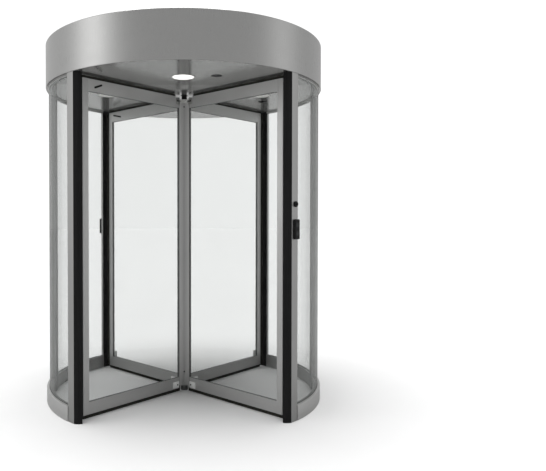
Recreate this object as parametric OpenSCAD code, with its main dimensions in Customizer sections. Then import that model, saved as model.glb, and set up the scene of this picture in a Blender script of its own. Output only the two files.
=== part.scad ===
// Four-wing revolving door: a round glass drum with two curved side walls,
// a flat drum canopy with downlights, and a rotor of four glazed wings
// turning about a central column between a floor pivot and a top bearing.
// Millimetres, +Z up, origin on the floor at the turning axis.
// The two entrances face -Y and +Y; the facade joins at -X and +X.

/* [Drum] */
// Outside radius of the canopy and of the plinth ring
canopy_r = 1000; // [950:10:1100]
// Clear height from the floor to the ceiling panels
head_h = 2204; // [2100:1:2400]
// Height of the canopy drum above the ceiling
fascia_h = 298; // [150:1:500]
// Outer radius of the curved wall glass
glass_r = 980; // [930:1:985]
// Thickness of the curved wall glass
glass_t = 12; // [8:1:14]
// Height of the plinth ring under the wall glass
plinth_h = 98; // [60:1:200]

/* [Posts] */
// Inner radius of the posts and plinth ring
post_ri = 960; // [950:1:965]
// Outer radius of the posts
post_ro = 996; // [985:1:999]
// Angle from the entrance axis to the near side of an end post
post_a1 = 43.3; // [42:0.1:44]
// Angle from the entrance axis to the far side of an end post
post_a2 = 47.0; // [46:0.1:49]
// Width of the middle posts where the facade joins
mid_post_w = 60; // [40:1:90]

/* [Wings] */
// Thickness of a wing frame
wing_t = 20; // [18:1:30]
// Tip radius of the wing's metal frame
wing_r = 917; // [880:1:920]
// Tip radius of the wing's outer seal
seal_r = 950; // [925:1:953]
// Width of the outer stile
stile_w = 46; // [30:1:70]
// Width of the central column across its flat faces
hub_w = 96; // [80:2:110]
// Depth of the glazing strip between the column and the wing
inner_t = 6; // [4:1:20]
// Underside of the bottom rail
rail_z0 = 24; // [18:1:40]
// Height of the top and bottom rails
rail_h = 81; // [60:1:140]
// Thickness of the wing glass
wing_glass_t = 8; // [6:1:12]

/* [Ceiling] */
// Radius of the circle on which the downlights sit
light_pc_r = 570; // [450:5:650]
// Radius of a downlight lens
light_r = 70; // [40:1:90]
// Half width of the middle ceiling panel
seam_y = 360; // [250:5:420]
// Radius of the circle on which the ceiling sensors sit
sensor_pc_r = 652; // [600:2:700]
// Angle of the ceiling sensors after each downlight
sensor_a = 19.3; // [15:0.1:30]

/* [Hidden] */
$fn = 96;

top_z = head_h + fascia_h;
skin = 4;                       // sheet thickness of the canopy skin
panel_t = 6;                    // ceiling panel thickness
chan_h = 25;                    // height of the channel over the wall glass
mid_a = mid_post_w / post_ro * 180 / PI / 2;  // half angle of a middle post
rail_top = head_h - 19.5;       // top of the wing frame
brush_top = head_h - 1;         // tip of the top brush
brush_low = 6;                  // tip of the bottom brush
cut_r = hub_w * 0.625;          // where a wing meets the column's cut corner
inner_r = cut_r + inner_t;      // where rails and glass begin
neck_h = 10;                    // the column stops this far below the wing tops
shaft_r = 20;
pivot_r = 12;
foot_r = 28;                    // radius of the floor bearing
foot_h = 38;                    // height of the floor bearing
hub_z0 = 43;                    // underside of the column
run_gap = 0.05;                 // radial running clearance at shaft and pivot
steel = [0.56, 0.56, 0.56];
alu = [0.62, 0.62, 0.61];
dark_alu = [0.42, 0.42, 0.42];
rubber = [0.10, 0.10, 0.11];
clear = [0.80, 0.85, 0.85, 0.3];

// ring sector between two angles measured from +X
module sector(r1, r2, z1, z2, a1, a2)
  rotate([0, 0, a1]) rotate_extrude(angle = a2 - a1)
    translate([r1, z1]) square([r2 - r1, z2 - z1]);

// the front right quarter repeated on either side of the entrance axis
module both_sides() { children(); mirror([1, 0, 0]) children(); }
module half_turn() { children(); rotate([0, 0, 180]) children(); }

module fascia_half()
  sector(canopy_r - skin, canopy_r, head_h, top_z, 180.02, 359.98);

module canopy_fascia_front() color(steel) fascia_half();
module canopy_fascia_back() color(steel) rotate([0, 0, 180]) fascia_half();

module canopy_top_cover() color(steel)
  translate([0, 0, top_z - skin]) cylinder(r = canopy_r - skin, h = skin);

// places for downlights and sensors, counted round the axis
module at_lights() for (k = [0:3]) rotate([0, 0, 90 * k - 90])
  translate([light_pc_r, 0, 0]) children();
module at_sensors() for (k = [0:3]) rotate([0, 0, 90 * k - 90 + sensor_a])
  translate([sensor_pc_r, 0, 0]) children();

module soffit_disc() difference() {
  translate([0, 0, head_h]) cylinder(r = canopy_r - skin, h = panel_t, $fn = 480);
  at_lights() translate([0, 0, head_h - 1]) cylinder(r = light_r + 8, h = panel_t + 2);
  at_sensors() translate([0, 0, head_h - 1]) cylinder(r = 37.5, h = panel_t + 2);
}
module soffit_front() color(steel) intersection() {
  soffit_disc();
  translate([-canopy_r, -canopy_r, head_h - 5]) cube([2 * canopy_r, canopy_r - seam_y - 1, 20]);
}
module soffit_back() color(steel) rotate([0, 0, 180]) soffit_front();
module soffit_center() color(steel) difference() {
  intersection() {
    soffit_disc();
    translate([-canopy_r, -seam_y, head_h - 5]) cube([2 * canopy_r, 2 * seam_y, 20]);
  }
  translate([0, 0, head_h - 1]) cylinder(r = shaft_r + 8, h = panel_t + 2);
}

module downlight_bezels() color(alu) at_lights() difference() {
  translate([0, 0, head_h]) cylinder(r = light_r + 8, h = 22);
  translate([0, 0, head_h - 1]) cylinder(r = light_r, h = 24);
}
module downlight_lenses() color([1, 0.98, 0.93]) at_lights()
  translate([0, 0, head_h + 3]) cylinder(r = light_r, h = 5);
module ceiling_sensors() color(dark_alu) at_sensors() difference() {
  translate([0, 0, head_h]) cylinder(r = 37.5, h = 14);
  translate([0, 0, head_h - 1]) cylinder(r = 16, h = 9);
}

module wall_top_channels() color(alu) both_sides() {
  sector(post_ri, 988, head_h - chan_h, head_h, post_a2 - 90, -mid_a);
  sector(post_ri, 988, head_h - chan_h, head_h, mid_a, 90 - post_a2);
}

// one curved pane, from an end post to a middle post
module pane() color(clear)
  sector(glass_r - glass_t, glass_r, plinth_h, head_h - chan_h, post_a2 - 90, -mid_a);
module glass_right_front() pane();
module glass_left_front() mirror([1, 0, 0]) pane();
module glass_right_back() mirror([0, 1, 0]) pane();
module glass_left_back() rotate([0, 0, 180]) pane();

module plinth_quarter() sector(post_ri, canopy_r, 0, plinth_h, post_a2 - 90, -mid_a);
module plinth_ring_right() color(alu) { plinth_quarter(); mirror([0, 1, 0]) plinth_quarter(); }
module plinth_ring_left() color(alu) rotate([0, 0, 180]) {
  plinth_quarter(); mirror([0, 1, 0]) plinth_quarter(); }

module end_posts_front() color(alu) both_sides()
  sector(post_ri, post_ro, 0, head_h, post_a1 - 90, post_a2 - 90);
module end_posts_back() rotate([0, 0, 180]) end_posts_front();

// wedge-shaped rubber edge that squares the end post off to the entrance
edge_s = post_a1 - 0.015;        // a hair clear of the metal
edge_y = post_ro * cos(edge_s);
edge_a = acos(edge_y / post_ri);
module safety_edge() linear_extrude(height = head_h)
  polygon(concat(
    [[post_ro * sin(edge_s), -edge_y]],
    [for (k = [0:8]) let (a = edge_s + (edge_a - edge_s) * k / 8)
      [post_ri * sin(a), -post_ri * cos(a)]],
    [for (k = [1:5]) let (t = k / 6, x0 = post_ri * sin(edge_a), x1 = post_ro * sin(edge_s))
      [x0 + (x1 - x0) * t, -edge_y - 5 * sin(180 * t)]]));
module safety_edges_front() color(rubber) both_sides() safety_edge();
module safety_edges_back() rotate([0, 0, 180]) safety_edges_front();

module mid_post_right() color(alu) sector(post_ri - 3, canopy_r, 0, head_h, -mid_a, mid_a);
module mid_post_left() rotate([0, 0, 180]) mid_post_right();

post_mid = (post_a1 + post_a2) / 2 - 90;
module key_switches() color(alu) half_turn() rotate([0, 0, post_mid + 0.3])
  translate([post_ro, 0, 1379]) rotate([0, 90, 0]) {
    cylinder(r = 18.5, h = 11);
    cylinder(r = 8.5, h = 15);
  }
module push_button_boxes() color(rubber) half_turn() rotate([0, 0, post_mid + 0.7])
  translate([post_ro + 6.5, 0, 1220]) cube([13, 55, 127], center = true);

module floor_bearing() color(dark_alu) difference() {
  union() {
    cylinder(r = foot_r, h = 30);
    translate([0, 0, 30]) cylinder(r = foot_r - 5, h = foot_h - 30);
  }
  translate([0, 0, 5]) cylinder(r = pivot_r + run_gap, h = 40);
}
module top_bearing() color(dark_alu) difference() {
  translate([0, 0, head_h + panel_t]) cylinder(r = 50, h = 24);
  translate([0, 0, head_h]) cylinder(r = shaft_r + run_gap, h = 60);
}

// a wing lies along +X and is then turned to its place
module bar(x1, x2, z1, z2, t) translate([x1, -t / 2, z1]) cube([x2 - x1, t, z2 - z1]);
module wing_stiles() color(alu) {
  bar(cut_r, inner_r, rail_z0, rail_top, wing_t);
  bar(wing_r - stile_w, wing_r, rail_z0, rail_top, wing_t);
}
module wing_rails() color(alu) {
  bar(inner_r, wing_r - stile_w, rail_z0, rail_z0 + rail_h, wing_t);
  bar(inner_r, wing_r - stile_w, rail_top - rail_h, rail_top, wing_t);
}
module wing_glass() color(clear)
  bar(inner_r, wing_r - stile_w, rail_z0 + rail_h, rail_top - rail_h, wing_glass_t);
module wing_seals() color(rubber) {
  bar(wing_r, seal_r, rail_z0, rail_top, 14);
  bar(50, wing_r, brush_low, rail_z0, 14);
  bar(100, wing_r, rail_top, brush_top, 14);
}
// wings are numbered round the axis from the front right one
function wing_angle(n) = 90 * n - 135;
module wing_1_stiles() rotate([0, 0, wing_angle(1)]) wing_stiles();
module wing_1_rails() rotate([0, 0, wing_angle(1)]) wing_rails();
module wing_1_glass() rotate([0, 0, wing_angle(1)]) wing_glass();
module wing_1_seals() rotate([0, 0, wing_angle(1)]) wing_seals();
module wing_2_stiles() rotate([0, 0, wing_angle(2)]) wing_stiles();
module wing_2_rails() rotate([0, 0, wing_angle(2)]) wing_rails();
module wing_2_glass() rotate([0, 0, wing_angle(2)]) wing_glass();
module wing_2_seals() rotate([0, 0, wing_angle(2)]) wing_seals();
module wing_3_stiles() rotate([0, 0, wing_angle(3)]) wing_stiles();
module wing_3_rails() rotate([0, 0, wing_angle(3)]) wing_rails();
module wing_3_glass() rotate([0, 0, wing_angle(3)]) wing_glass();
module wing_3_seals() rotate([0, 0, wing_angle(3)]) wing_seals();
module wing_4_stiles() rotate([0, 0, wing_angle(4)]) wing_stiles();
module wing_4_rails() rotate([0, 0, wing_angle(4)]) wing_rails();
module wing_4_glass() rotate([0, 0, wing_angle(4)]) wing_glass();
module wing_4_seals() rotate([0, 0, wing_angle(4)]) wing_seals();

// the column: a square tube whose corners are cut back where the wings meet it
module column_outline(a = hub_w / 2, b = cut_r * sqrt(2) - hub_w / 2)
  polygon([[b, -a], [a, -b], [a, b], [b, a], [-b, a], [-a, b], [-a, -b], [-b, -a]]);
module hub_core() color(alu) {
  translate([0, 0, hub_z0]) linear_extrude(height = rail_top - neck_h - hub_z0)
    column_outline();
  translate([0, 0, rail_top - neck_h - 1])
    cylinder(r = shaft_r, h = head_h + panel_t + 24 - rail_top + neck_h);
  translate([0, 0, 8]) cylinder(r = pivot_r, h = hub_z0 - 7);
}
// clamp plates on both faces of every wing, beside the column
module clamps(x1, x2, z1, h) for (n = [1:4]) rotate([0, 0, wing_angle(n)])
  for (m = [0, 1]) mirror([0, m, 0])
    translate([x1, wing_t / 2, z1]) cube([x2 - x1, 8, h]);
module hub_brackets_top() color(dark_alu) {
  clamps(cut_r + 2, 95, rail_top - 54.5, 46);
  for (k = [0:3]) rotate([0, 0, 90 * k])
    translate([-33, -hub_w / 2 - 3, rail_top - neck_h - 28]) cube([66, 3, 28]);
}
module hub_brackets_bottom() color(dark_alu) clamps(cut_r + 10, 130, rail_z0 + 17, 46);

// foot bolts on the two back wings, on the side towards the back entrance
module floor_bolts() color(alu) for (s = [2, 3]) rotate([0, 0, wing_angle(s)])
  mirror([0, s == 3 ? 1 : 0, 0])
    translate([wing_r - stile_w - 26, wing_glass_t / 2, rail_z0 + rail_h]) cube([26, 18, 48]);

canopy_fascia_front();
canopy_fascia_back();
canopy_top_cover();
soffit_front();
soffit_center();
soffit_back();
downlight_bezels();
downlight_lenses();
ceiling_sensors();
wall_top_channels();
glass_left_front();
glass_left_back();
glass_right_front();
glass_right_back();
plinth_ring_left();
plinth_ring_right();
end_posts_front();
end_posts_back();
safety_edges_front();
safety_edges_back();
mid_post_left();
mid_post_right();
key_switches();
push_button_boxes();
floor_bearing();
top_bearing();
wing_1_stiles();
wing_1_rails();
wing_1_glass();
wing_1_seals();
wing_2_stiles();
wing_2_rails();
wing_2_glass();
wing_2_seals();
wing_3_stiles();
wing_3_rails();
wing_3_glass();
wing_3_seals();
wing_4_stiles();
wing_4_rails();
wing_4_glass();
wing_4_seals();
hub_core();
hub_brackets_top();
hub_brackets_bottom();
floor_bolts();
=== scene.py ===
import math
import random

import bmesh
import bpy
from mathutils import Matrix, Vector


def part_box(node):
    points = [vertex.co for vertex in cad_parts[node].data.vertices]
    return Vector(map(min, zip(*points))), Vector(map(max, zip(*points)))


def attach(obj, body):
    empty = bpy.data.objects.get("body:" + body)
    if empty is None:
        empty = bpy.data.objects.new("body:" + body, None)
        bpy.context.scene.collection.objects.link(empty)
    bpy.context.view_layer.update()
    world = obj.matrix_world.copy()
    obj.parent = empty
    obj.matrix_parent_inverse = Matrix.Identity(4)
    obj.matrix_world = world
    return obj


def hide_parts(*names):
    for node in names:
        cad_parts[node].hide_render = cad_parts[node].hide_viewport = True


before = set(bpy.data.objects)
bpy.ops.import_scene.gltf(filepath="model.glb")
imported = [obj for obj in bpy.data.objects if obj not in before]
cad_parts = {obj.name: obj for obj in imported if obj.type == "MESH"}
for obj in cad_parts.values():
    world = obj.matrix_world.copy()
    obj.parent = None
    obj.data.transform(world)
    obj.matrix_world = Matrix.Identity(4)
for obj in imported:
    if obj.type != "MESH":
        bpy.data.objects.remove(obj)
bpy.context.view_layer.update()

random.seed(7)
S = bpy.context.scene
rad = math.radians

# ---------------------------------------------------------------- dimensions
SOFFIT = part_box("soffit_center")[0].z          # ceiling underside
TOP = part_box("canopy_fascia_front")[1].z
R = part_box("canopy_fascia_front")[1].x
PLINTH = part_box("glass_left_front")[0].z
CHAN_Z = SOFFIT - 0.012                       # slim visible part of the head channel
GLASS_RO, GLASS_RI = 0.980, 0.968
POST_RI, POST_RO = 0.960, 0.996
POST_A1, POST_A2 = 43.3, 47.0
MID_A = math.degrees(0.030 / 0.996)
WING_T = 0.020
HUB_A = 0.048                                  # half width of the column
CUT, INNER, WR, SEAL = 0.060, 0.0634, 0.912, 0.950
HUB_B = CUT * math.sqrt(2) - HUB_A
STILE = 0.046
RAIL0 = 0.024
RAIL_H = 0.081
RAIL1 = SOFFIT - 0.0195
COL_TOP = RAIL1 - 0.017
BRUSH1, BRUSH0 = SOFFIT - 0.0010, 0.0012
WINGS = {1: -45.0, 2: 45.0, 3: 135.0, 4: 225.0}


# ---------------------------------------------------------------- materials
class Mat:
    """Small helper round a node tree."""

    def __init__(self, name):
        self.m = bpy.data.materials.new(name)
        self.m.use_nodes = True
        self.nt = self.m.node_tree
        self.n = self.nt.nodes
        self.bsdf = next(x for x in self.n if x.type == "BSDF_PRINCIPLED")
        self.out = next(x for x in self.n if x.type == "OUTPUT_MATERIAL")

    def node(self, kind, **kw):
        x = self.n.new(kind)
        for k, v in kw.items():
            setattr(x, k, v)
        return x

    def link(self, a, b):
        self.nt.links.new(a, b)

    def math(self, op, a, b=None, c=None):
        x = self.node("ShaderNodeMath", operation=op)
        for i, v in enumerate((a, b, c)):
            if v is None:
                continue
            if isinstance(v, (int, float)):
                x.inputs[i].default_value = v
            else:
                self.link(v, x.inputs[i])
        return x.outputs[0]

    def coords(self, kind):
        """kind: flat gives object x, y, z; round gives arc length, radius, z."""
        tc = self.node("ShaderNodeTexCoord")
        if kind == "flat":
            return tc.outputs["Object"]
        sep = self.node("ShaderNodeSeparateXYZ")
        self.link(tc.outputs["Object"], sep.inputs[0])
        ang = self.math("ARCTAN2", sep.outputs[0], sep.outputs[1])
        rr = self.math("SQRT", self.math("ADD", self.math("MULTIPLY", sep.outputs[0], sep.outputs[0]),
                                         self.math("MULTIPLY", sep.outputs[1], sep.outputs[1])))
        com = self.node("ShaderNodeCombineXYZ")
        self.link(ang, com.inputs[0])
        self.link(rr, com.inputs[1])
        self.link(sep.outputs[2], com.inputs[2])
        return com.outputs[0]

    def stretch(self, vec, scale, rot=None):
        mp = self.node("ShaderNodeMapping")
        mp.inputs["Scale"].default_value = scale
        if rot:
            mp.inputs["Rotation"].default_value = rot
        self.link(vec, mp.inputs[0])
        return mp.outputs[0]

    def noise(self, vec, scale, detail=3.0, rough=0.55):
        x = self.node("ShaderNodeTexNoise")
        x.inputs["Scale"].default_value = scale
        x.inputs["Detail"].default_value = detail
        x.inputs["Roughness"].default_value = rough
        self.link(vec, x.inputs["Vector"])
        return x.outputs["Fac"]

    def ramp(self, fac, lo, hi, a=0.3, b=0.7):
        x = self.node("ShaderNodeMapRange")
        x.inputs["From Min"].default_value = a
        x.inputs["From Max"].default_value = b
        x.inputs["To Min"].default_value = lo
        x.inputs["To Max"].default_value = hi
        self.link(fac, x.inputs["Value"])
        return x.outputs["Result"]

    def mix(self, fac, a, b):
        x = self.node("ShaderNodeMix", data_type="RGBA")
        self.link(fac, x.inputs[0])
        for sock, v in ((x.inputs[6], a), (x.inputs[7], b)):
            if isinstance(v, tuple):
                sock.default_value = (*v, 1.0)
            else:
                self.link(v, sock)
        return x.outputs[2]

    def bump(self, height, strength, distance=0.001):
        x = self.node("ShaderNodeBump")
        x.inputs["Strength"].default_value = strength
        x.inputs["Distance"].default_value = distance
        self.link(height, x.inputs["Height"])
        self.link(x.outputs[0], self.bsdf.inputs["Normal"])
        return x


def metal(name, colour, rough, grain, kind="flat", coarse=(2.0, 2.0, 2.0), spread=0.05, rspread=0.06,
          bump=0.12, share=1.0, centre_shade_band=0.0):
    """Brushed or anodised metal. grain is the stretch of the fine lines, coarse of the slow cloudiness."""
    k = Mat(name)
    v = k.coords(kind)
    fine = k.noise(k.stretch(v, grain), 1.0, 4.0, 0.6)
    slow = k.noise(k.stretch(v, coarse), 1.0, 3.0, 0.5)
    smudge = k.noise(k.stretch(v, tuple(c * 3.1 for c in coarse)), 1.0, 5.0, 0.6)
    lo = tuple(c * (1 - spread) for c in colour)
    hi = tuple(min(1.0, c * (1 + spread)) for c in colour)
    grained = k.mix(k.ramp(fine, 0, 1), lo, hi)
    cloud = k.mix(k.ramp(slow, 0, 1), tuple(c * 0.97 for c in colour), tuple(c * 1.02 for c in colour))
    both = k.node("ShaderNodeMix", data_type="RGBA")
    both.inputs[0].default_value = 0.45
    k.link(grained, both.inputs[6])
    k.link(cloud, both.inputs[7])
    tone = both.outputs[2]
    if centre_shade_band:
        # painted shade: the colour of each column face is darkened toward its middle, so the face reads lighter toward
        # its edges
        sx = k.node("ShaderNodeSeparateXYZ")
        k.link(v, sx.inputs[0])
        off = k.math("MINIMUM", k.math("ABSOLUTE", sx.outputs[0], 0.0), k.math("ABSOLUTE", sx.outputs[1], 0.0))
        centre_shade = k.node("ShaderNodeMix", data_type="RGBA", blend_type="MULTIPLY")
        centre_shade.inputs[0].default_value = 1.0
        k.link(tone, centre_shade.inputs[6])
        k.link(k.mix(k.ramp(off, 0, 1, centre_shade_band * 0.05, centre_shade_band), (0.68, 0.68, 0.68), (1.0, 1.0, 1.0)), centre_shade.inputs[7])
        tone = centre_shade.outputs[2]
    k.link(tone, k.bsdf.inputs["Base Color"])
    r = k.math("ADD", k.ramp(fine, -rspread, rspread), k.ramp(smudge, rough - rspread * 0.4, rough + rspread * 0.6))
    k.link(r, k.bsdf.inputs["Roughness"])
    k.bsdf.inputs["Metallic"].default_value = share
    k.bump(fine, bump, 0.0004)
    return k.m


def rubber(name, colour, rough, grain=(60, 60, 6), kind="flat", spread=0.25, bump=0.25, spec=0.35):
    k = Mat(name)
    v = k.coords(kind)
    lines = k.noise(k.stretch(v, grain), 1.0, 3.0, 0.6)
    speck = k.noise(v, 420.0, 2.0, 0.6)
    dust = k.noise(v, 9.0, 4.0, 0.6)
    base = k.mix(k.ramp(lines, 0, 1), tuple(c * (1 - spread) for c in colour), tuple(c * (1 + spread) for c in colour))
    dusty = k.mix(k.ramp(dust, 0.0, 0.22, 0.45, 0.8), base, tuple(c * 2.2 + 0.004 for c in colour))
    k.link(dusty, k.bsdf.inputs["Base Color"])
    k.link(k.math("ADD", k.ramp(speck, -0.05, 0.05), k.ramp(dust, rough - 0.04, rough + 0.06)), k.bsdf.inputs["Roughness"])
    k.bsdf.inputs["Specular IOR Level"].default_value = spec
    k.bump(k.math("ADD", speck, k.math("MULTIPLY", lines, 1.5)), bump, 0.0004)
    return k.m


def glass(name, tint, body, shine_amount=0.5, deep=0.1):
    """Clear laminated glass: see-through, a weak gloss that grows at grazing angles, faint dust."""
    k = Mat(name)
    k.n.remove(k.bsdf)
    v = k.coords("flat")
    dust = k.noise(v, 3.0, 5.0, 0.65)
    clear = k.node("ShaderNodeBsdfTransparent")
    lw = k.node("ShaderNodeLayerWeight")
    lw.inputs["Blend"].default_value = 0.5
    thick = k.math("MULTIPLY", k.math("POWER", lw.outputs["Facing"], 3.0), deep)
    body_tint = k.mix(k.ramp(dust, 0, 1, 0.35, 0.75), tint, tuple(c * 0.994 for c in tint))
    k.link(k.mix(thick, body_tint, tuple(c * 0.5 for c in tint)), clear.inputs[0])
    k.bsdf = shine = k.node("ShaderNodeBsdfPrincipled")
    k.link(k.mix(k.ramp(dust, 0, 1, 0.3, 0.8), body, tuple(min(1, c * 1.08) for c in body)), shine.inputs["Base Color"])
    k.link(k.ramp(dust, 0.02, 0.06), shine.inputs["Roughness"])
    shine.inputs["Metallic"].default_value = 1.0
    wave = k.noise(k.stretch(v, (1.6, 1.6, 0.9)), 1.0, 0.0, 0.3)
    k.bump(wave, 0.01, 0.001)
    fres = k.math("ADD", k.math("MULTIPLY", k.math("POWER", lw.outputs["Facing"], 5.0), 0.9), 0.045)
    fac = k.math("ADD", k.math("MULTIPLY", fres, shine_amount), k.ramp(dust, 0.0, 0.006))
    mx = k.node("ShaderNodeMixShader")
    k.link(fac, mx.inputs[0])
    k.link(clear.outputs[0], mx.inputs[1])
    k.link(shine.outputs[0], mx.inputs[2])
    k.link(mx.outputs[0], k.out.inputs["Surface"])
    return k.m


STEEL = (0.40, 0.40, 0.395)
ALU = (0.38, 0.38, 0.375)
M = {
    "fascia": metal("fascia_brushed_steel", STEEL, 0.30, (900.0, 3.0, 9.0), "round", (1.5, 1.0, 2.5), 0.05, 0.05, 0.10),
    "cover": metal("cover_sheet_metal", (0.46, 0.46, 0.455), 0.42, (6.0, 420.0, 6.0), "flat", (1.2, 1.2, 1.2), 0.05, 0.05, 0.1),
    # one brushed soffit metal in three copies, lighter from front to rear: painted light on the centre and rear panels
    "soffit": metal("soffit_brushed_metal", (0.385, 0.385, 0.375), 0.165, (5.0, 700.0, 5.0), "flat", (1.0, 2.0, 1.0), 0.05, 0.025, 0.04, 0.72),
    "soffit_mid_painted_light": metal("soffit_brushed_metal_mid_painted_light", (0.575, 0.575, 0.565), 0.165, (5.0, 700.0, 5.0), "flat", (1.0, 2.0, 1.0), 0.05, 0.025, 0.04, 0.68),
    "soffit_rear_painted_light": metal("soffit_brushed_metal_rear_painted_light", (0.645, 0.645, 0.635), 0.18, (5.0, 700.0, 5.0), "flat", (1.0, 2.0, 1.0), 0.05, 0.025, 0.04, 0.62),
    "bead": metal("wall_bead_satin", (0.62, 0.62, 0.61), 0.34, (700.0, 700.0, 5.0), "flat", (3.0, 3.0, 1.2), 0.05, 0.05, 0.1, 0.5),
    "alu_head": metal("aluminium_head_channel", (0.70, 0.70, 0.69), 0.40, (9.0, 9.0, 700.0), "round", (2.0, 2.0, 4.0), 0.05, 0.05, 0.10, 0.3),
    # a darker copy of the wing rail metal for the sills: painted shade
    "alu_sill_painted_shade": metal("aluminium_wing_sill_painted_shade", (0.515, 0.515, 0.51), 0.38, (9.0, 9.0, 800.0), "flat", (2.0, 2.0, 4.0), 0.06, 0.05, 0.10, 0.55),
    "switch_metal": metal("switch_black_steel", (0.020, 0.020, 0.020), 0.40, (300.0, 300.0, 300.0), "flat", (8.0, 8.0, 8.0), 0.12, 0.06, 0.12),
    # painted shade: a dark metal for the thin ring that stands for the shade under the fascia overhang
    "alu_trim_painted_shade": metal("head_trim_painted_shade", (0.24, 0.24, 0.235), 0.36, (9.0, 9.0, 700.0), "round", (2.0, 2.0, 4.0), 0.05, 0.05, 0.10, 0.8),
    "plate": metal("clamp_plate_satin", (0.95, 0.95, 0.94), 0.36, (300.0, 300.0, 20.0), "flat", (8.0, 8.0, 8.0), 0.05, 0.05, 0.12, 0.15),
    "silicone": rubber("glazing_silicone_grey", (0.22, 0.22, 0.22), 0.55, (90.0, 90.0, 90.0), spread=0.12, bump=0.15, spec=0.4),
    "alu_v": metal("aluminium_upright_satin", ALU, 0.33, (700.0, 700.0, 5.0), "flat", (3.0, 3.0, 1.2), 0.05, 0.05, 0.10),
    "alu_wing": metal("aluminium_wing_stile_satin", (0.515, 0.515, 0.51), 0.36, (700.0, 700.0, 5.0), "flat", (3.0, 3.0, 1.2), 0.05, 0.05, 0.10, 0.52),
    # the column metal carries painted shade, darker down the middle of each face
    "alu_column": metal("aluminium_column_satin", (0.47, 0.47, 0.465), 0.33, (700.0, 700.0, 5.0), "flat", (6.0, 6.0, 1.2), 0.06, 0.05, 0.10, 0.75, 0.036),
    "alu_rail": metal("aluminium_wing_rail_satin", (0.58, 0.58, 0.575), 0.36, (9.0, 9.0, 800.0), "flat", (2.0, 2.0, 4.0), 0.05, 0.05, 0.10, 0.5),
    "alu_round": metal("aluminium_curved_satin", (0.49, 0.49, 0.485), 0.36, (9.0, 9.0, 700.0), "round", (2.0, 2.0, 4.0), 0.05, 0.05, 0.10, 0.65),
    "hub": metal("hub_dark_steel", (0.16, 0.16, 0.16), 0.36, (300.0, 300.0, 300.0), "flat", (8.0, 8.0, 8.0), 0.10, 0.06, 0.12),
    "bracket": metal("bracket_satin_aluminium", (0.46, 0.46, 0.45), 0.30, (500.0, 500.0, 20.0), "flat", (8.0, 8.0, 8.0), 0.06, 0.05, 0.12),
    "screw": metal("screw_dark_steel", (0.10, 0.10, 0.10), 0.30, (900.0, 900.0, 900.0), "flat", (20.0, 20.0, 20.0), 0.12, 0.06, 0.15),
    "screw_light": metal("screw_bright_steel", (0.55, 0.55, 0.54), 0.25, (900.0, 900.0, 900.0), "flat", (20.0, 20.0, 20.0), 0.12, 0.06, 0.15),
    "bezel": metal("bezel_satin_ring", (0.50, 0.50, 0.49), 0.28, (300.0, 300.0, 300.0), "flat", (9.0, 9.0, 9.0), 0.06, 0.05, 0.1),
    "rubber": rubber("rubber_safety_edge", (0.0105, 0.0105, 0.0108), 0.62, (90.0, 90.0, 3.0), spec=0.14),
    "lining": rubber("post_lining_pile", (0.022, 0.022, 0.022), 0.75, (300.0, 300.0, 8.0), spread=0.35, bump=0.4, spec=0.25),
    "strip": rubber("glazing_strip_dark", (0.12, 0.12, 0.12), 0.5, (300.0, 300.0, 6.0), spread=0.15, bump=0.15, spec=0.45),
    "gasket": rubber("rubber_gasket", (0.010, 0.010, 0.010), 0.6, (60.0, 60.0, 60.0), spec=0.2),
    "brush": rubber("brush_bristles", (0.024, 0.024, 0.018), 0.62, (700.0, 700.0, 700.0), spread=0.6, bump=0.5, spec=0.25),
    "plastic": rubber("switch_moulded_plastic", (0.006, 0.006, 0.0065), 0.50, (200.0, 200.0, 200.0), spread=0.1, bump=0.18, spec=0.16),
    "button": rubber("button_moulded_plastic", (0.018, 0.018, 0.019), 0.40, (200.0, 200.0, 200.0), spread=0.1, bump=0.12, spec=0.25),
    "sensor": rubber("sensor_housing_plastic", (0.015, 0.015, 0.015), 0.45, (200.0, 200.0, 200.0), spread=0.08, bump=0.15, spec=0.45),
    "sensor_lens": rubber("sensor_lens_black", (0.006, 0.006, 0.007), 0.15, (80.0, 80.0, 80.0), spread=0.2, bump=0.03, spec=0.5),
    "glass_wall": glass("glass_curved_wall", (0.941, 0.945, 0.943), (0.86, 0.88, 0.87), 0.5, 0.34),
    "glass_wing": glass("glass_wing_pane", (0.938, 0.942, 0.940), (0.86, 0.88, 0.87), 0.45, 0.02),
}


def lens_material(name, strength):
    k = Mat(name)
    v = k.coords("flat")
    cells = k.node("ShaderNodeTexVoronoi")
    cells.inputs["Scale"].default_value = 260.0
    k.link(v, cells.inputs["Vector"])
    c = k.mix(k.ramp(cells.outputs["Distance"], 0, 1, 0.0, 0.7), (1.0, 0.985, 0.95), (0.93, 0.92, 0.89))
    k.link(c, k.bsdf.inputs["Base Color"])
    k.link(c, k.bsdf.inputs["Emission Color"])
    k.bsdf.inputs["Emission Strength"].default_value = strength
    k.bsdf.inputs["Roughness"].default_value = 0.4
    k.bump(cells.outputs["Distance"], 0.2, 0.001)
    return k.m


M["lens"] = lens_material("downlight_opal_lens", 1.1)
M["lens_side"] = lens_material("downlight_opal_lens_dimmed", 0.06)


# ---------------------------------------------------------------- mesh makers
def finish_mesh(name, bm, mat, body, smooth=25.0, replaces=()):
    bmesh.ops.remove_doubles(bm, verts=bm.verts, dist=1e-6)
    bmesh.ops.recalc_face_normals(bm, faces=bm.faces)
    me = bpy.data.meshes.new(name)
    bm.to_mesh(me)
    bm.free()
    if smooth:
        me.polygons.foreach_set("use_smooth", [True] * len(me.polygons))
        me.set_sharp_from_angle(angle=rad(smooth))
    o = bpy.data.objects.new(name, me)
    S.collection.objects.link(o)
    me.materials.append(M[mat])
    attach(o, body)
    if replaces:
        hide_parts(*replaces)
    return o


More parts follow.
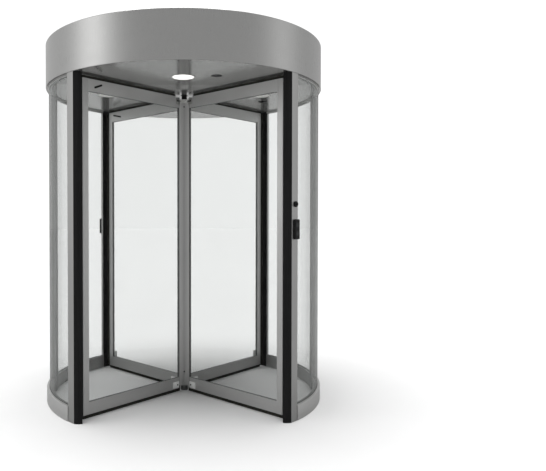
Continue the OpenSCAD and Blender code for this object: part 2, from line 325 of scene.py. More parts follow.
def add_prism(bm, pts, z0, z1, bevel=0.0, mat4=None, segs=1):
    """A closed prism on a 2D outline, edges chamfered, placed by mat4."""
    vs = [bm.verts.new((x, y, z0)) for x, y in pts]
    f = bm.faces.new(vs)
    ext = bmesh.ops.extrude_face_region(bm, geom=[f])
    new = [g for g in ext["geom"] if isinstance(g, bmesh.types.BMVert)]
    bmesh.ops.translate(bm, vec=(0, 0, z1 - z0), verts=new)
    verts = vs + new
    if bevel:
        edges = list({e for v in verts for e in v.link_edges})
        r = bmesh.ops.bevel(bm, geom=edges, offset=bevel, segments=segs, affect="EDGES", profile=0.5, clamp_overlap=True)
        verts = list({v for fc in r["faces"] for v in fc.verts} | {v for v in verts if v.is_valid})
    if mat4 is not None:
        bmesh.ops.transform(bm, matrix=mat4, verts=verts)
    return verts


def add_box(bm, x0, x1, y0, y1, z0, z1, bevel=0.0, mat4=None, segs=1):
    return add_prism(bm, [(x0, y0), (x1, y0), (x1, y1), (x0, y1)], z0, z1, bevel, mat4, segs)


def add_revolve(bm, prof, a0, a1, n, closed=False):
    """prof is a closed (r, z) outline turned from a0 to a1 degrees from +X."""
    rings = []
    cnt = n if closed else n + 1
    for i in range(cnt):
        a = rad(a0 + (a1 - a0) * i / n)
        c, s = math.cos(a), math.sin(a)
        rings.append([bm.verts.new((r * c, r * s, z)) for r, z in prof])
    m = len(prof)
    for i in range(n):
        p, q = rings[i], rings[(i + 1) % cnt]
        for j in range(m):
            k = (j + 1) % m
            bm.faces.new((p[j], q[j], q[k], p[k]))
    if not closed:
        bm.faces.new(list(reversed(rings[0])))
        bm.faces.new(rings[-1])


def chamfered(r0, r1, z0, z1, c):
    return [(r0 + c, z0), (r1 - c, z0), (r1, z0 + c), (r1, z1 - c), (r1 - c, z1), (r0 + c, z1), (r0, z1 - c), (r0, z0 + c)]


def add_screw(bm, centre, axis, r, h, socket=True):
    """A domed cap with a hexagon recess, its flat side at centre and its head along axis."""
    prof = [(0.0, 0.0), (r, 0.0), (r, h * 0.45), (r * 0.86, h * 0.85), (r * 0.62, h)]
    n = 18
    rings = []
    for pr, pz in prof[1:]:
        rings.append([bm.verts.new((pr * math.cos(2 * math.pi * i / n), pr * math.sin(2 * math.pi * i / n), pz)) for i in range(n)])
    made = [v for ring in rings for v in ring]
    for p, q in zip(rings, rings[1:]):
        for i in range(n):
            j = (i + 1) % n
            bm.faces.new((p[i], p[j], q[j], q[i]))
    if socket:
        hexr = r * 0.40
        ring = [bm.verts.new((hexr * math.cos(2 * math.pi * i / n), hexr * math.sin(2 * math.pi * i / n), h)) for i in range(n)]
        low = [bm.verts.new((hexr * math.cos(2 * math.pi * i / n), hexr * math.sin(2 * math.pi * i / n), h * 0.4)) for i in range(n)]
        made += ring + low
        for p, q in ((rings[-1], ring), (ring, low)):
            for i in range(n):
                j = (i + 1) % n
                bm.faces.new((p[i], p[j], q[j], q[i]))
        bm.faces.new(low)
    else:
        bm.faces.new(rings[-1])
    bm.faces.new(list(reversed(rings[0])))
    rot = Vector(axis).normalized().to_track_quat("Z", "Y").to_matrix().to_4x4()
    bmesh.ops.transform(bm, matrix=Matrix.Translation(Vector(centre)) @ rot, verts=made)


def rot_z(a):
    return Matrix.Rotation(rad(a), 4, "Z")


def new():
    return bmesh.new()


# ---------------------------------------------------------------- canopy
for nm, a0 in (("front", 180.0), ("back", 0.0)):
    bm = new()
    prof = [(R - 0.0040, SOFFIT + 0.0006), (R - 0.0015, SOFFIT), (R, SOFFIT + 0.0018), (R, TOP - 0.0022), (R - 0.0015, TOP),
            (R - 0.0060, TOP), (R - 0.0070, TOP - 0.0012), (R - 0.0070, TOP - 0.0040), (R - 0.0040, TOP - 0.0060)]
    add_revolve(bm, prof, a0 + 0.035, a0 + 179.965, 240)
    finish_mesh(f"fascia_skin_{nm}", bm, "fascia", "drum", 20, (f"canopy_fascia_{nm}",))

# cover: two sheet halves with a lap seam and a ring of screws
bm = new()
for s in (0, 180):
    n = 160
    pts = [((R - 0.0075) * math.cos(rad(0.05 + 179.9 * i / n + s)), (R - 0.0075) * math.sin(rad(0.05 + 179.9 * i / n + s))) for i in range(n + 1)]
    vs = [bm.verts.new((x, y, TOP - 0.0085)) for x, y in pts]
    f = bm.faces.new(vs)
    ext = bmesh.ops.extrude_face_region(bm, geom=[f])
    up = [g for g in ext["geom"] if isinstance(g, bmesh.types.BMVert)]
    bmesh.ops.translate(bm, vec=(0, 0, 0.0025), verts=up)
finish_mesh("canopy_cover_sheets", bm, "cover", "drum", 25, ("canopy_top_cover",))
bm = new()
add_box(bm, -0.96, 0.96, -0.022, 0.022, TOP - 0.0060, TOP - 0.0042, 0.0006)
for i in range(32):
    a = rad(360 / 32 * (i + 0.5))
    add_screw(bm, (0.962 * math.cos(a), 0.962 * math.sin(a), TOP - 0.0060), (0, 0, 1), 0.0062, 0.0035)
for i in range(17):
    x = -0.9 + 1.8 * i / 16
    for y in (-0.012, 0.012):
        add_screw(bm, (x, y, TOP - 0.0042), (0, 0, 1), 0.0045, 0.0028)
finish_mesh("canopy_cover_seam_and_screws", bm, "screw_light", "drum", 25)


# ---------------------------------------------------------------- ceiling details
def disc_piece(bm, cx, cy, prof, n=64):
    rings = []
    for r, z in prof:
        rings.append([bm.verts.new((cx + r * math.cos(2 * math.pi * i / n), cy + r * math.sin(2 * math.pi * i / n), z)) for i in range(n)])
    for j in range(len(prof)):
        p, q = rings[j], rings[(j + 1) % len(prof)]
        for i in range(n):
            k = (i + 1) % n
            bm.faces.new((p[i], p[k], q[k], q[i]))


light_pts = [(0.570 * math.cos(rad(a)), 0.570 * math.sin(rad(a))) for a in (-90, 0, 90, 180)]
sensor_pts = [(0.652 * math.cos(rad(a + 19.3)), 0.652 * math.sin(rad(a + 19.3))) for a in (-90, 0, 90, 180)]
Z = SOFFIT
bm = new()
for x, y in light_pts:
    disc_piece(bm, x, y, [(0.0705, Z + 0.012), (0.0705, Z + 0.0008), (0.0715, Z + 0.0001), (0.0770, Z + 0.0001), (0.0778, Z + 0.0009), (0.0778, Z + 0.012)], 96)
finish_mesh("downlight_trim_rings", bm, "bezel", "drum", 25, ("downlight_bezels",))


def lens_piece(name, pts, mat, reps):
    bm = new()
    for x, y in pts:
        n = 96
        prof = [(0.0700, Z + 0.0060), (0.0700, Z + 0.0022), (0.055, Z + 0.0012), (0.035, Z + 0.0006), (0.015, Z + 0.0003)]
        rings = [[bm.verts.new((x + r * math.cos(2 * math.pi * i / n), y + r * math.sin(2 * math.pi * i / n), z)) for i in range(n)] for r, z in prof]
        for p, q in zip(rings, rings[1:]):
            for i in range(n):
                k = (i + 1) % n
                bm.faces.new((p[i], p[k], q[k], q[i]))
        bm.faces.new(rings[-1])
        bm.faces.new(list(reversed(rings[0])))
    finish_mesh(name, bm, mat, "drum", 30, reps)


lens_piece("downlight_lenses_entrances", [light_pts[0], light_pts[2]], "lens", ("downlight_lenses",))
lens_piece("downlight_lenses_sides", [light_pts[1], light_pts[3]], "lens_side", ())

bm = new()
for x, y in sensor_pts:
    disc_piece(bm, x, y, [(0.0165, Z + 0.010), (0.0165, Z + 0.0020), (0.0200, Z + 0.0002), (0.0355, Z + 0.0002), (0.0374, Z + 0.0014), (0.0374, Z + 0.010)], 72)
finish_mesh("ceiling_sensor_rings", bm, "sensor", "drum", 25, ("ceiling_sensors",))
bm = new()
for x, y in sensor_pts:
    n = 48
    prof = [(0.0163, Z + 0.0085), (0.0163, Z + 0.0045), (0.011, Z + 0.0030), (0.005, Z + 0.0024)]
    rings = [[bm.verts.new((x + r * math.cos(2 * math.pi * i / n), y + r * math.sin(2 * math.pi * i / n), z)) for i in range(n)] for r, z in prof]
    for p, q in zip(rings, rings[1:]):
        for i in range(n):
            k = (i + 1) % n
            bm.faces.new((p[i], p[k], q[k], q[i]))
    bm.faces.new(rings[-1])
    bm.faces.new(list(reversed(rings[0])))
finish_mesh("ceiling_sensor_lenses", bm, "sensor_lens", "drum", 30)

# ---------------------------------------------------------------- drum walls
ARCS = {"right_front": (POST_A2 - 90, -MID_A), "right_back": (MID_A, 90 - POST_A2),
        "left_back": (90 + POST_A2, 180 - MID_A), "left_front": (180 + MID_A, 270 - POST_A2)}
for nm, (a0, a1) in ARCS.items():
    bm = new()
    e = 0.04
    add_revolve(bm, chamfered(GLASS_RI, GLASS_RO, PLINTH + 0.0006, CHAN_Z - 0.0006, 0.0008), a0 + e, a1 - e, 72)
    finish_mesh(f"curved_pane_{nm}", bm, "glass_wall", "drum", 20, (f"glass_{nm}",))
for side in ("left", "right"):
    bm = new()
    bg = new()
    bs2 = new()
    for nm in ("front", "back"):
        a0, a1 = ARCS[f"{side}_{nm}"]
        prof = [(POST_RI + 0.001, 0.0), (R - 0.001, 0.0), (R, 0.001), (R, PLINTH - 0.004), (R - 0.0012, PLINTH - 0.0012), (R - 0.004, PLINTH),
                (GLASS_RO + 0.0023, PLINTH), (GLASS_RO + 0.0023, PLINTH - 0.0015), (GLASS_RI - 0.0009, PLINTH - 0.0015), (GLASS_RI - 0.0009, PLINTH),
                (POST_RI + 0.001, PLINTH), (POST_RI, PLINTH - 0.001), (POST_RI, 0.001)]
        add_revolve(bm, prof, a0 + 0.004, a1 - 0.004, 72)
        add_revolve(bs2, [(GLASS_RO + 0.0001, PLINTH - 0.0014), (GLASS_RO + 0.0022, PLINTH - 0.0014), (GLASS_RO + 0.0022, PLINTH + 0.0010), (GLASS_RO + 0.0001, PLINTH + 0.0022)], a0 + 0.03, a1 - 0.03, 72)
        for r0, r1 in ((GLASS_RI - 0.0008, GLASS_RI - 0.0001),):
            add_revolve(bg, [(r0, PLINTH - 0.0014), (r1, PLINTH - 0.0014), (r1, PLINTH + 0.0010), ((r0 + r1) / 2, PLINTH + 0.0016), (r0, PLINTH + 0.0012)], a0 + 0.03, a1 - 0.03, 72)
            add_revolve(bg, [(r0, CHAN_Z - 0.0035), (r1, CHAN_Z - 0.002), (r1, CHAN_Z), (r0, CHAN_Z)], a0 + 0.03, a1 - 0.03, 72)
    finish_mesh(f"plinth_profile_{side}", bm, "alu_round", "drum", 25, (f"plinth_ring_{side}",))
    finish_mesh(f"pane_gaskets_{side}", bg, "silicone", "drum", 40)
    finish_mesh(f"pane_gaskets_outer_{side}", bs2, "gasket", "drum", 40)
bm = new()
for nm, (a0, a1) in ARCS.items():
    add_revolve(bm, chamfered(POST_RI, 0.988, CHAN_Z, SOFFIT - 0.0001, 0.0010), a0 + 0.02, a1 - 0.02, 72)
finish_mesh("wall_head_channels", bm, "alu_head", "drum", 25, ("wall_top_channels",))
# a thin dark ring over the outer face of each head channel: painted shade under the fascia overhang
bm = new()
for nm, (a0, a1) in ARCS.items():
    add_revolve(bm, chamfered(0.9881, 0.9900, CHAN_Z - 0.0010, SOFFIT - 0.0001, 0.0006), a0 + 0.03, a1 - 0.03, 72)
finish_mesh("wall_head_painted_shade_trims", bm, "alu_trim_painted_shade", "drum", 25)

# end posts: plain aluminium covers, with ribbed rubber edges and black linings
for end, base in (("front", 0), ("back", 180)):
    bm = new()
    be = new()
    bl = new()
    for s in (-1, 1):
        def at(th, r):
            # th from the entrance axis, s picks the side
            a = rad(th)
            v = Vector((s * r * math.sin(a), -r * math.cos(a), 0))
            return (rot_z(base) @ v).xy[:]
        n = 8
        ro = POST_RO if end == "front" else 0.9915
        outer = [at(POST_A1 + (POST_A2 - POST_A1) * i / n, ro) for i in range(n + 1)]
        inner = [at(POST_A2 - (POST_A2 - POST_A1) * i / n, POST_RI) for i in range(n + 1)]
        add_prism(bm, outer + inner, 0.0, SOFFIT - 0.0001, 0.0)
        # rubber edge: ribbed outer face between the post's edge and the passage
        a1 = POST_A1 - 0.015
        ey = POST_RO * math.cos(rad(a1))
        ea = math.degrees(math.acos(ey / POST_RI))
        x1, x0 = POST_RO * math.sin(rad(a1)), POST_RI * math.sin(rad(ea))
        pts = []
        m = 24
        for i in range(m + 1):
            t = i / m
            x = x0 + (x1 - x0) * t
            bulge = 0.0050 * math.sin(math.pi * t)
            groove = 0.0011 if i in (5, 10, 14, 19) else 0.0
            pts.append((x, -ey - bulge + groove))
        pts += [(POST_RI * math.sin(rad(a1 + (ea - a1) * i / 10)), -POST_RI * math.cos(rad(a1 + (ea - a1) * i / 10))) for i in range(11)]
        pts = [(rot_z(base) @ Vector((s * x, y, 0))).xy[:] for x, y in pts]
        clean = []
        for p in pts:
            if not clean or (Vector(p) - Vector(clean[-1])).length > 1e-5:
                clean.append(p)
        if (Vector(clean[0]) - Vector(clean[-1])).length < 1e-5:
            clean.pop()
        add_prism(be, clean, 0.0, SOFFIT - 0.0001, 0.0)
        # black lining with a pile strip on the face the wing seals sweep past
        def ring(t0, t1, r0, r1, k=6):
            return ([at(t0 + (t1 - t0) * i / k, r1) for i in range(k + 1)] + [at(t1 + (t0 - t1) * i / k, r0) for i in range(k + 1)])
        add_prism(bl, ring(POST_A1 + 0.02, POST_A2 + 0.05, POST_RI - 0.0009, POST_RI), 0.001, SOFFIT - 0.0002, 0.0)
        add_prism(bl, ring(POST_A2 + 0.01, POST_A2 + 0.10, POST_RI, GLASS_RI - 0.0002), PLINTH + 0.0062, CHAN_Z - 0.0040, 0.0)
        for c in (0.25, 0.75):
            th = POST_A1 + (POST_A2 - POST_A1) * c
            add_prism(bl, ring(th - 0.16, th + 0.16, POST_RI - 0.0020, POST_RI - 0.0009, 3), 0.002, SOFFIT - 0.0004, 0.0)
    finish_mesh(f"end_post_covers_{end}", bm, "alu_v", "drum", 25, (f"end_posts_{end}",))
    finish_mesh(f"end_post_linings_{end}", bl, "lining", "drum", 25)
    finish_mesh(f"rubber_edges_{end}", be, "rubber", "drum", 18, (f"safety_edges_{end}",))

# middle posts with a facade groove on the outer face
for side, base in (("right", 0), ("left", 180)):
    bm = new()
    n = 10
    pts = []
    for i in range(n + 1):
        a = rad(-MID_A + 2 * MID_A * i / n)
        dip = 0.003 if i in (4, 5, 6) else 0.0
        pts.append(((R - dip) * math.cos(a), (R - dip) * math.sin(a)))
    for i in range(n + 1):
        a = rad(MID_A - 2 * MID_A * i / n)
        pts.append((0.9530 * math.cos(a), 0.9530 * math.sin(a)))
    pts = [(rot_z(base) @ Vector((x, y, 0))).xy[:] for x, y in pts]
    add_prism(bm, pts, 0.0, SOFFIT - 0.0001, 0.0)
    finish_mesh(f"middle_post_profile_{side}", bm, "alu_v", "drum", 20, (f"mid_post_{side}",))

# rounded glazing beads that hold the curved panes against the middle posts
for side, base in (("right", 0), ("left", 180)):
    bm = new()
    for s in (-1, 1):
        ya, yb = sorted((s * 0.0302, s * 0.0352))
        add_box(bm, 0.9808, 0.9890, ya, yb, PLINTH + 0.0003, CHAN_Z - 0.0003, 0.0016, rot_z(base), 3)
    finish_mesh(f"middle_post_beads_{side}", bm, "bead", "drum", 30)

# ---------------------------------------------------------------- switches
POST_MID = (POST_A1 + POST_A2) / 2 - 90
bk, bp, bb = new(), new(), new()
for turn in (0, 180):
    face = rot_z(turn + POST_MID + 0.3) @ Matrix.Translation((POST_RO, 0, 1.379)) @ Matrix.Rotation(rad(90), 4, "Y")
    n = 40
    prof = [(0.0185, 0.0), (0.0185, 0.007), (0.0165, 0.0105), (0.0105, 0.0110), (0.0100, 0.0085), (0.0090, 0.0085), (0.0085, 0.0145), (0.0060, 0.0148), (0.0, 0.0148)]
    rings = []
    vs = []
    for r, z in prof[:-1]:
        ring = [bk.verts.new((r * math.cos(2 * math.pi * i / n), r * math.sin(2 * math.pi * i / n), z)) for i in range(n)]
        rings.append(ring)
        vs += ring
    for p, q in zip(rings, rings[1:]):
        for i in range(n):
            j = (i + 1) % n
            bk.faces.new((p[i], p[j], q[j], q[i]))
    bk.faces.new(rings[-1])
    bk.faces.new(list(reversed(rings[0])))
    bmesh.ops.transform(bk, matrix=face, verts=vs)
    # keyhole slot
    add_box(bp, -0.0045, 0.0045, -0.0011, 0.0011, 0.0144, 0.0150, 0.0, face)
    box = rot_z(turn + POST_MID + 0.7) @ Matrix.Translation((POST_RO, 0, 1.220)) @ Matrix.Rotation(rad(90), 4, "Y")
    # local: x down, y across, z outwards
    def rr(w, h, r, k=6):
        pts = []
        for cx, cy, a in ((w - r, h - r, 0), (-w + r, h - r, 90), (-w + r, -h + r, 180), (w - r, -h + r, 270)):
            for i in range(k + 1):
                t = rad(a + 90 * i / k)
                pts.append((cx + r * math.cos(t), cy + r * math.sin(t)))
        return pts
    add_prism(bp, rr(0.0635, 0.0275, 0.008), 0.0, 0.0105, 0.0012, box)
    add_prism(bp, rr(0.0575, 0.0215, 0.005), 0.0105, 0.0120, 0.0005, box)
    for x in (-0.027, 0.027):
        ring = [(x + 0.0155 * math.cos(2 * math.pi * i / 36), 0.0155 * math.sin(2 * math.pi * i / 36)) for i in range(36)]
        add_prism(bb, ring, 0.0118, 0.0129, 0.0004, box)
finish_mesh("key_switch_cylinders", bk, "switch_metal", "drum", 30, ("key_switches",))
finish_mesh("push_button_housings", bp, "plastic", "drum", 25, ("push_button_boxes",))
finish_mesh("push_buttons", bb, "button", "drum", 25)

# ---------------------------------------------------------------- wings
def tufts(bm, p0, p1, up, depth, count, thick, m4, lean=0.0012):
    """A row of tapered bristle tufts from p0 to p1 that stand along up."""
    p0, p1, up = Vector(p0), Vector(p1), Vector(up)
    step = (p1 - p0) / count
    side = step.normalized().cross(up).normalized()
    for i in range(count):
        a = p0 + step * (i + 0.04)
        b = p0 + step * (i + 0.96)
        d = depth * (0.93 + 0.07 * random.random())
        off = step.normalized() * random.uniform(-lean, lean) + side * random.uniform(-lean, lean)
        base = [a - side * thick, b - side * thick, b + side * thick, a + side * thick]
        mid = (a + b) / 2
        tip = [mid + (c - mid) * 0.86 + up * d + off for c in base]
        lim = p0 + up * depth
        vb = [bm.verts.new(c) for c in base]
        vt = [bm.verts.new(c) for c in tip]
        bm.faces.new(list(reversed(vb)))
        bm.faces.new(vt)
        for j in range(4):
            k = (j + 1) % 4
            bm.faces.new((vb[j], vb[k], vt[k], vt[j]))
        bmesh.ops.transform(bm, matrix=m4, verts=vb + vt)


T = WING_T / 2
for n, ang in WINGS.items():
    m4 = rot_z(ang)
    # stiles: outer one with rounded lips beside the seal, inner glazing strip at the column
    bm = new()
    xo0, xo1 = WR - STILE, WR
    add_prism(bm, [(xo0, -T), (xo1 - 0.0025, -T), (xo1, -T + 0.0022), (xo1, -0.0072), (xo1 - 0.004, -0.0072), (xo1 - 0.004, 0.0072),
                   (xo1, 0.0072), (xo1, T - 0.0022), (xo1 - 0.0025, T), (xo0, T)], RAIL0, RAIL1, 0.0005, m4)
    finish_mesh(f"wing_{n}_stile_profiles", bm, "alu_wing", "rotor", 25, (f"wing_{n}_stiles",))
    # rails: the sill rail takes a darker copy of the head rail's metal, painted shade on the lower rail
    for part, mat, z0, z1 in (("sill", "alu_sill_painted_shade", RAIL0, RAIL0 + RAIL_H), ("head", "alu_rail", RAIL1 - RAIL_H, RAIL1)):
        bm = new()
        add_box(bm, INNER + 0.0002, xo0 - 0.0003, -T, T, z0, z1, 0.0008, m4)
        finish_mesh(f"wing_{n}_{part}_rail", bm, mat, "rotor", 25, (f"wing_{n}_rails",))
    # glass
    g0, g1 = RAIL0 + RAIL_H, RAIL1 - RAIL_H
    bm = new()
    add_box(bm, INNER + 0.0005, xo0 - 0.0005, -0.004, 0.004, g0 + 0.0005, g1 - 0.0005, 0.0006, m4)
    finish_mesh(f"wing_{n}_pane", bm, "glass_wing", "rotor", 25, (f"wing_{n}_glass",))
    # slim glazing beads on the four returns, and the black strip beside the column
    bm = new()
    w = 0.0010
    for s in (-1, 1):
        ya, yb = sorted((s * 0.0041, s * 0.0072))
        for x0, x1, z0, z1 in ((xo0 - w, xo0 - 0.0001, g0 + 0.0001, g1 - 0.0001),
                               (INNER + w, xo0 - w, g0 + 0.0001, g0 + w), (INNER + w, xo0 - w, g1 - w, g1 - 0.0001)):
            add_box(bm, x0, x1, ya, yb, z0, z1, 0.0003, m4)
    bz = new()
    add_box(bz, CUT + 0.0002, INNER, -T + 0.0002, T - 0.0002, RAIL0, RAIL1, 0.0008, m4)
    finish_mesh(f"wing_{n}_column_strip", bz, "strip", "rotor", 25)
    finish_mesh(f"wing_{n}_glazing_gaskets", bm, "gasket", "rotor", 25)
    # seals: carriers and bristles
    bm = new()
    add_box(bm, WR - 0.0038, WR + 0.012, -0.0070, 0.0070, RAIL0 + 0.001, RAIL1 - 0.001, 0.0012, m4)
    add_box(bm, 0.100, WR, -0.0070, 0.0070, RAIL1, RAIL1 + 0.0055, 0.0008, m4)
    add_box(bm, 0.050, WR, -0.0070, 0.0070, RAIL0 - 0.0055, RAIL0, 0.0008, m4)
    finish_mesh(f"wing_{n}_seal_carriers", bm, "gasket", "rotor", 25, (f"wing_{n}_seals",))
    bm = new()
    tufts(bm, (WR + 0.011, 0, RAIL0 + 0.002), (WR + 0.011, 0, RAIL1 - 0.002), (1, 0, 0), SEAL - WR - 0.0115, 620, 0.0055, m4, 0.0008)
    tufts(bm, (0.101, 0, RAIL1 + 0.005), (WR - 0.001, 0, RAIL1 + 0.005), (0, 0, 1), BRUSH1 - RAIL1 - 0.0052, 300, 0.0058, m4, 0.0008)
    tufts(bm, (WR - 0.001, 0, RAIL0 - 0.005), (0.051, 0, RAIL0 - 0.005), (0, 0, -1), RAIL0 - 0.005 - BRUSH0 - 0.0002, 300, 0.0058, m4, 0.0008)
    finish_mesh(f"wing_{n}_bristles", bm, "brush", "rotor", 0)

# dark slanted marks on the top rails, on the side that faces the next wing: a painted reflection of that wing's brush
# strip
bm = new()
for n, (ra, za, rb, zb) in {4: (0.825, 2.129, 0.752, 2.160), 3: (0.856, 2.160, 0.739, 2.133), 2: (0.825, 2.129, 0.752, 2.160), 1: (0.856, 2.160, 0.739, 2.133)}.items():
    m4 = rot_z(WINGS[n])
    a, b = Vector((ra, 0, za)), Vector((rb, 0, zb))
    c = (a + b) / 2
    L = (b - a).length / 2 - 0.006
    ang = math.atan2((b - a).z, (b - a).x)
    hw = 0.0065
    pts = []
    for cx, a0 in ((L - hw, -90), (-L + hw, 90)):
        for i in range(9):
            t = rad(a0 + 180 * i / 8)
            pts.append((cx + hw * math.cos(t), hw * math.sin(t)))
    loc = m4 @ Matrix.Translation((c.x, T + 0.0002, c.z)) @ Matrix.Rotation(rad(90), 4, "X") @ Matrix.Rotation(ang, 4, "Z")
    add_prism(bm, pts, -0.0010, 0.0006, 0.0004, loc)
finish_mesh("top_rail_painted_reflections", bm, "gasket", "rotor", 25)

# ---------------------------------------------------------------- hub
def column_outline(grow=0.0):
    a, b = HUB_A + grow, HUB_B + grow * (math.sqrt(2) - 1)
    return [(b, -a), (a, -b), (a, b), (b, a), (-b, a), (-a, b), (-a, -b), (-b, -a)]


# the column: four slightly crowned faces with a shallow groove either side of the middle
bm = new()
bs = new()
pts = []
for k in range(4):
    m2 = rot_z(90 * k)
    m = 28
    for i in range(m + 1):
        t = -1 + 2 * i / m
        x = t * HUB_B
        crown = 0.0014 * (1 - t * t)
        groove = 0.0012 if i == 14 else 0.0006 if i in (13, 15) else 0.0008 if i in (5, 23) else 0.0
        y = -(HUB_A - 0.0014 + crown - groove)
        pts.append((m2 @ Vector((x, y, 0))).xy[:])
add_prism(bm, pts, 0.0431, COL_TOP - 0.0001, 0.0)
finish_mesh("column_profile", bm, "alu_column", "rotor", 18)

bm = new()
n = 56
for r, z0, z1, c in ((0.0199, COL_TOP - 0.0005, SOFFIT + 0.028, 0.0015), (0.0119, 0.0085, 0.0435, 0.0015)):
    ring = [(r * math.cos(2 * math.pi * i / n), r * math.sin(2 * math.pi * i / n)) for i in range(n)]
    add_prism(bm, ring, z0, z1, 0.0)
ring = [(0.030 * math.cos(2 * math.pi * i / n), 0.030 * math.sin(2 * math.pi * i / n)) for i in range(n)]
add_prism(bm, ring, COL_TOP, COL_TOP + 0.004, 0.001)
finish_mesh("column_shaft_and_pivot", bm, "gasket", "rotor", 25, ("hub_core",))

bm = new()
bt = new()
for k in range(4):
    m4 = rot_z(90 * k)
    # cover plate at the head of each face
    add_box(bt, -0.033, 0.033, -HUB_A - 0.0030, -HUB_A + 0.0012, COL_TOP - 0.0278, COL_TOP - 0.0002, 0.0010, m4)
    for x in (-0.026, 0.026):
        add_screw(bs, m4 @ Vector((x, -HUB_A - 0.0030, COL_TOP - 0.014)), m4.to_3x3() @ Vector((0, -1, 0)), 0.0042, 0.0022)
    # one larger screw on the face, high and low
    for zz in (2.112, 0.146):
        add_screw(bs, m4 @ Vector((0.0, -HUB_A + 0.0012, zz)), m4.to_3x3() @ Vector((0, -1, 0)), 0.0062, 0.0036)
for n, ang in WINGS.items():
    m4 = rot_z(ang)
    for s in (-1, 1):
        for x0, x1, z0 in ((CUT + 0.002, 0.095, RAIL1 - 0.0560), (CUT + 0.0100, 0.128, RAIL0 + 0.008)):
            ya, yb = sorted((s * (T - 0.0002), s * (T + 0.0078)))
            add_box(bm if x1 > 0.1 else bt, x0, x1, ya, yb, z0, z0 + 0.0458, 0.0018, m4, 2)
            if x1 < 0.1:
                add_box(bm, x0 + 0.001, x1 + 0.004, ya, yb + (0.001 if s > 0 else 0.0), RAIL1 - 0.0098, RAIL1 - 0.0006, 0.0012, m4, 2)
            face = s * (T + 0.0076)
            spots = ((x0 + 0.009, 0.5), (x1 - 0.009, 0.5)) if x1 < 0.1 else ((x0 + 0.016, 0.5),)
            for sx, f in spots:
                add_screw(bs, m4 @ Vector((sx, face, z0 + 0.0458 * f)), m4.to_3x3() @ Vector((0, s, 0)), 0.0062, 0.0040)
finish_mesh("hub_clamp_plates", bm, "plate", "rotor", 25, ("hub_brackets_top", "hub_brackets_bottom"))
finish_mesh("hub_clamp_plates_top", bt, "bracket", "rotor", 25)
finish_mesh("hub_screws", bs, "screw", "rotor", 25)

# floor bolts: housing with a slide knob and two screws
bm = new()
bs = new()
for n, s in ((2, 1), (3, -1)):
    m4 = rot_z(WINGS[n])
    x0 = WR - STILE - 0.0258
    z0 = RAIL0 + RAIL_H + 0.0002
    ya, yb = sorted((s * 0.0041, s * 0.0168))
    add_box(bm, x0, x0 + 0.0256, ya, yb, z0, z0 + 0.0476, 0.0022, m4, 2)
    ya, yb = sorted((s * 0.0160, s * 0.0216))
    add_box(bm, x0 + 0.007, x0 + 0.0186, ya, yb, z0 + 0.018, z0 + 0.030, 0.0020, m4, 2)
    for zz in (0.007, 0.041):
        add_screw(bs, m4 @ Vector((x0 + 0.0128, s * 0.0166, z0 + zz)), m4.to_3x3() @ Vector((0, s, 0)), 0.0034, 0.0020)
finish_mesh("floor_bolt_housings", bm, "plate", "rotor", 25, ("floor_bolts",))
finish_mesh("floor_bolt_screws", bs, "screw", "rotor", 25)

# ---------------------------------------------------------------- CAD nodes that stay
def dress(node, mat):
    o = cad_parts[node]
    o.data.materials.clear()
    o.data.materials.append(M[mat])


# the centre and rear soffit panels get the lighter copies: painted light farther in
for node, mat in (("soffit_front", "soffit"), ("soffit_center", "soffit_mid_painted_light"), ("soffit_back", "soffit_rear_painted_light")):
    dress(node, mat)
dress("floor_bearing", "hub")
# the top bearing takes the dark screw steel: partly its own dark metal, partly painted shade round the shaft at the
# soffit
dress("top_bearing", "screw")

# ---------------------------------------------------------------- stage, light, camera
floor_me = bpy.data.meshes.new("studio_floor")
bm = new()
n = 96
bm.faces.new([bm.verts.new((60 * math.cos(2 * math.pi * i / n), 60 * math.sin(2 * math.pi * i / n), -0.0004)) for i in range(n)])
bm.to_mesh(floor_me)
bm.free()
floor = bpy.data.objects.new("studio_floor", floor_me)
S.collection.objects.link(floor)
k = Mat("studio_floor_white")
v = k.coords("flat")
k.link(k.mix(k.ramp(k.noise(v, 2.0, 3.0), 0, 1), (0.895, 0.895, 0.895), (0.905, 0.905, 0.905)), k.bsdf.inputs["Base Color"])
k.bsdf.inputs["Roughness"].default_value = 0.9
k.bsdf.inputs["Specular IOR Level"].default_value = 0.0
grey = k.node("ShaderNodeBsdfDiffuse")
grey.inputs[0].default_value = (0.52, 0.52, 0.52, 1.0)
lp = k.node("ShaderNodeLightPath")
mx = k.node("ShaderNodeMixShader")
k.link(lp.outputs["Is Camera Ray"], mx.inputs[0])
k.link(grey.outputs[0], mx.inputs[1])
k.link(k.bsdf.outputs[0], mx.inputs[2])
k.link(mx.outputs[0], k.out.inputs["Surface"])
floor_me.materials.append(k.m)

WORLD_FRONT, WORLD_LEFT, WORLD_RIGHT, WORLD_TOP, PAPER = 0.575, 0.74, 0.61, 0.03, 1.08
STRIP_L, STRIP_R = 1.46, 0.53
world = bpy.data.worlds.new("studio")
S.world = world
world.use_nodes = True
wn, wl = world.node_tree.nodes, world.node_tree.links
bg = next(x for x in wn if x.type == "BACKGROUND")
tc = wn.new("ShaderNodeTexCoord")
sep = wn.new("ShaderNodeSeparateXYZ")
wl.new(tc.outputs["Generated"], sep.inputs[0])


def wmath(op, a, b=None, c=None):
    x = wn.new("ShaderNodeMath")
    x.operation = op
    for i, v in enumerate((a, b, c)):
        if v is None:
            continue
        if isinstance(v, (int, float)):
            x.inputs[i].default_value = v
        else:
            wl.new(v, x.inputs[i])
    return x.outputs[0]


def wstep(fac, a, b, lo, hi):
    x = wn.new("ShaderNodeMapRange")
    x.interpolation_type = "SMOOTHSTEP"
    for key, v in (("From Min", a), ("From Max", b), ("To Min", lo), ("To Max", hi)):
        x.inputs[key].default_value = v
    wl.new(fac, x.inputs["Value"])
    return x.outputs["Result"]


def wbell(fac, centre, width, height):
    d = wmath("DIVIDE", wmath("SUBTRACT", fac, centre), width)
    return wmath("MULTIPLY", wmath("EXPONENT", wmath("MULTIPLY", wmath("MULTIPLY", d, d), -0.5)), height)


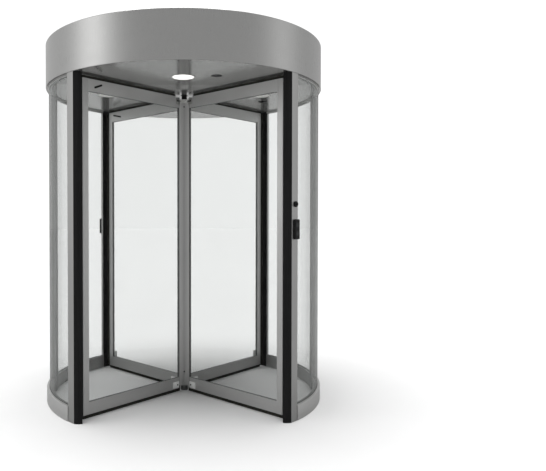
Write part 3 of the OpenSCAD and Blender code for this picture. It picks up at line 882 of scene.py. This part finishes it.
# azimuth in degrees: 0 faces the front entrance, positive to the right
az = wmath("MULTIPLY", wmath("ARCTAN2", sep.outputs[0], wmath("MULTIPLY", sep.outputs[1], -1.0)), 180.0 / math.pi)
left = wmath("MULTIPLY", wstep(az, -110.0, -80.0, WORLD_LEFT - WORLD_FRONT, 0.0), wstep(az, -180.0, -150.0, 0.3, 1.0))
right = wstep(az, 85.0, 115.0, 0.0, WORLD_RIGHT - WORLD_FRONT)
side = wmath("ADD", left, right)
ring = wmath("ADD", wmath("ADD", side, WORLD_FRONT), wmath("ADD", wbell(az, -75.0, 11.5, STRIP_L), wbell(az, 84.0, 10.0, STRIP_R)))
lift = wstep(sep.outputs[2], 0.50, 0.80, 1.0, 0.0)
sky = wmath("ADD", wmath("MULTIPLY", ring, lift), wmath("MULTIPLY", wmath("SUBTRACT", 1.0, lift), WORLD_TOP))
wlp = wn.new("ShaderNodeLightPath")
seen = wmath("ADD", wmath("MULTIPLY", wlp.outputs["Is Camera Ray"], PAPER),
             wmath("MULTIPLY", wmath("SUBTRACT", 1.0, wlp.outputs["Is Camera Ray"]), sky))
bg.inputs["Color"].default_value = (1, 1, 1, 1)
wl.new(seen, bg.inputs["Strength"])


def sun(name, tilt_to, strength, spread):
    L = bpy.data.lights.new(name, "SUN")
    L.energy = strength
    L.angle = rad(spread)
    o = bpy.data.objects.new(name, L)
    S.collection.objects.link(o)
    o.location = Vector(tilt_to) * 6.0
    o.rotation_mode = "QUATERNION"
    o.rotation_quaternion = (-Vector(tilt_to)).to_track_quat("-Z", "Y")
    return o


sun("overhead_soft_light", (-0.055, 0.0, 1.0), 2.86, 47.0)

cam_data = bpy.data.cameras.new("camera")
cam = bpy.data.objects.new("camera", cam_data)
S.collection.objects.link(cam)
S.camera = cam
W, H = 546.0, 471.0
cam_data.sensor_fit = "HORIZONTAL"
cam_data.sensor_width = 36.0
cam_data.lens = 36.0 * 578.851 / W
cam_data.shift_x = (W / 2 - 200.02) / W
cam_data.shift_y = (226.19 - H / 2) / W
cam_data.clip_start, cam_data.clip_end = 0.1, 200.0
cam.location = (0.05135, -4.34400, 1.29984)
yaw, pitch = rad(0.883), rad(0.9413)
direction = Vector((math.sin(yaw) * math.cos(pitch), math.cos(yaw) * math.cos(pitch), -math.sin(pitch)))
cam.rotation_mode = "QUATERNION"
cam.rotation_quaternion = direction.to_track_quat("-Z", "Y")

S.view_settings.view_transform = "Standard"
S.view_settings.look = "None"
S.view_settings.exposure = 0.0
S.view_settings.gamma = 1.0
